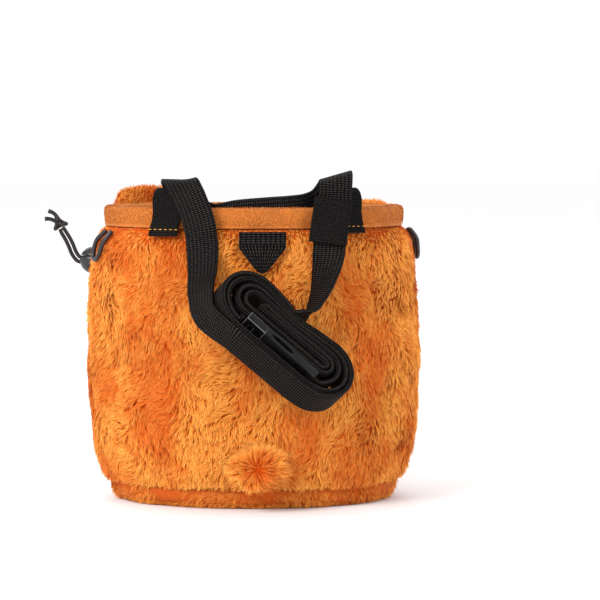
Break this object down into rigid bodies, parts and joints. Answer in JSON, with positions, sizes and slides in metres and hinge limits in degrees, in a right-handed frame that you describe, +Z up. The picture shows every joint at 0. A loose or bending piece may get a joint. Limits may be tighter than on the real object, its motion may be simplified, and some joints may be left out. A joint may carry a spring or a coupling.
{
  "type": "climbing chalk bag",
  "caption": "Round fur covered chalk bag with felt rim, rolled waist belt with side release buckle, ball lock drawstring and pompom tail.",
  "frame": {"origin": "middle of the flat underside, where the bag stands", "axes": "+Z up through the mouth, -Y towards the side with the belt and the tail, +X to the right seen from that side"},
  "size_m": [0.1941, 0.1797, 0.1669],
  "materials": {
    "fur": "soft orange pile",
    "base_fur": "darker orange pile",
    "felt": "short nap",
    "lining": "plain cloth",
    "webbing": "ribbed nylon webbing",
    "keeper_webbing": "fine nylon webbing",
    "tab_cloth": "ribbed woven tab",
    "buckle_plastic": "satin moulded",
    "lock_plastic": "fine matte",
    "cord": "braided cord",
    "loop_cord": "smooth coated cord"
  },
  "bodies": {
    "root": {"body_wall": "lining", "side_fur": "fur", "base_fur": "base_fur", "rim_band": "felt", "back_tab": "tab_cloth", "tail_pompom": "fur", "ear_left": "fur", "ear_right": "fur", "belt_loop_left": "keeper_webbing", "belt_loop_right": "keeper_webbing", "waist_belt": "webbing", "belt_keeper": "keeper_webbing", "buckle_socket": "buckle_plastic", "buckle_clip": "buckle_plastic", "lock_barrel": "lock_plastic", "lock_button": "lock_plastic", "drawstring_upper": "cord", "drawstring_lower": "cord", "cord_knot": "cord", "side_loop_left": "loop_cord", "side_loop_right": "loop_cord"}
  },
  "joints": []
}
